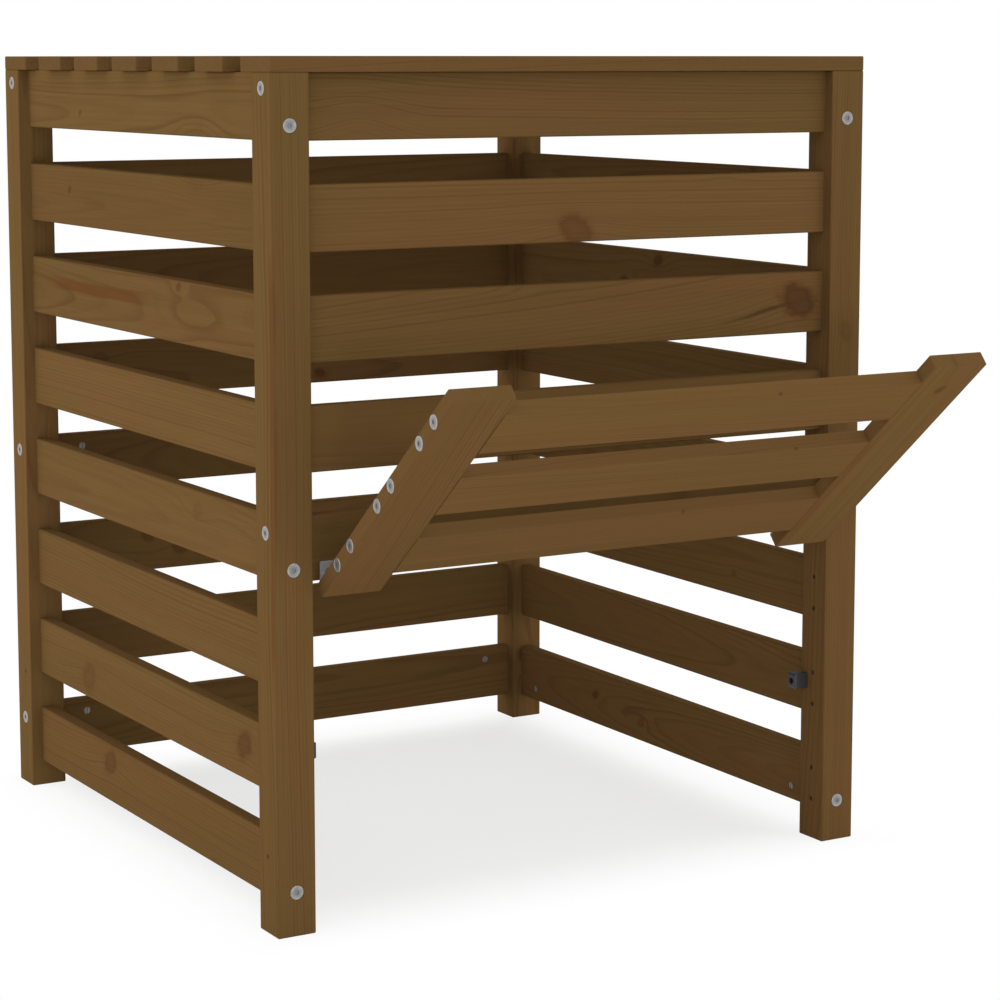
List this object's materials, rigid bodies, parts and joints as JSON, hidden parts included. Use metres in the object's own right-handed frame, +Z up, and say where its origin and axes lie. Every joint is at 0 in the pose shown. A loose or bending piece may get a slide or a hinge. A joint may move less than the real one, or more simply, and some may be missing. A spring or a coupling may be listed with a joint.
{
  "type": "compost bin",
  "caption": "Slatted timber compost bin on square posts, with a hinged slatted lid and a hinged hatch flap in the lower front.",
  "frame": {"origin": "on the ground at the middle of the four feet", "axes": "+Z up, -Y to the front where the flap is, +X to the right seen from the front"},
  "size_m": [0.8204, 1.1344, 1],
  "materials": {
    "stained_pine": "satin honey-brown stain",
    "dowel_wood": "bare beech",
    "zinc_steel": "satin zinc plate",
    "dark_plastic": "moulded matte"
  },
  "bodies": {
    "frame": {"barrel_nuts": "zinc_steel", "dowels": "dowel_wood", "flap_hinge_fixed_leaves": "zinc_steel", "frame_bolts": "zinc_steel", "frame_screws": "zinc_steel", "hinge_pins": "zinc_steel", "lid_hinge_fixed_leaves": "zinc_steel", "post_front_left": "stained_pine", "post_front_right": "stained_pine", "post_rear_left": "stained_pine", "post_rear_right": "stained_pine", "slat_front_1": "stained_pine", "slat_front_2": "stained_pine", "slat_front_3": "stained_pine", "slat_front_4": "stained_pine", "slat_front_5": "stained_pine", "slat_left_1": "stained_pine", "slat_left_2": "stained_pine", "slat_left_3": "stained_pine", "slat_left_4": "stained_pine", "slat_left_5": "stained_pine", "slat_left_6": "stained_pine", "slat_left_7": "stained_pine", "slat_left_8": "stained_pine", "slat_rear_1": "stained_pine", "slat_rear_2": "stained_pine", "slat_rear_3": "stained_pine", "slat_rear_4": "stained_pine", "slat_rear_5": "stained_pine", "slat_rear_6": "stained_pine", "slat_rear_7": "stained_pine", "slat_rear_8": "stained_pine", "slat_right_1": "stained_pine", "slat_right_2": "stained_pine", "slat_right_3": "stained_pine", "slat_right_4": "stained_pine", "slat_right_5": "stained_pine", "slat_right_6": "stained_pine", "slat_right_7": "stained_pine", "slat_right_8": "stained_pine", "stop_blocks": "dark_plastic"},
    "flap": {"flap_hinge_moving_leaves": "zinc_steel", "flap_hinge_screws": "zinc_steel", "flap_screws": "zinc_steel", "flap_slat_1": "stained_pine", "flap_slat_2": "stained_pine", "flap_slat_3": "stained_pine", "flap_stile_left": "stained_pine", "flap_stile_right": "stained_pine"},
    "lid": {"lid_batten_left": "stained_pine", "lid_batten_right": "stained_pine", "lid_board_1": "stained_pine", "lid_board_2": "stained_pine", "lid_board_3": "stained_pine", "lid_board_4": "stained_pine", "lid_board_5": "stained_pine", "lid_board_6": "stained_pine", "lid_board_7": "stained_pine", "lid_hinge_moving_leaves": "zinc_steel", "lid_screws": "zinc_steel"}
  },
  "joints": [
    {"name": "flap_hinge", "type": "hinge", "parent": "frame", "child": "flap", "pos_m": [0, -0.398, 0.40451], "axis": [-1, 0, 0], "range_deg": [-130, 45]},
    {"name": "lid_hinge", "type": "hinge", "parent": "frame", "child": "lid", "pos_m": [0, 0.413, 0.982], "axis": [-1, 0, 0], "range_deg": [0, 175]}
  ]
}
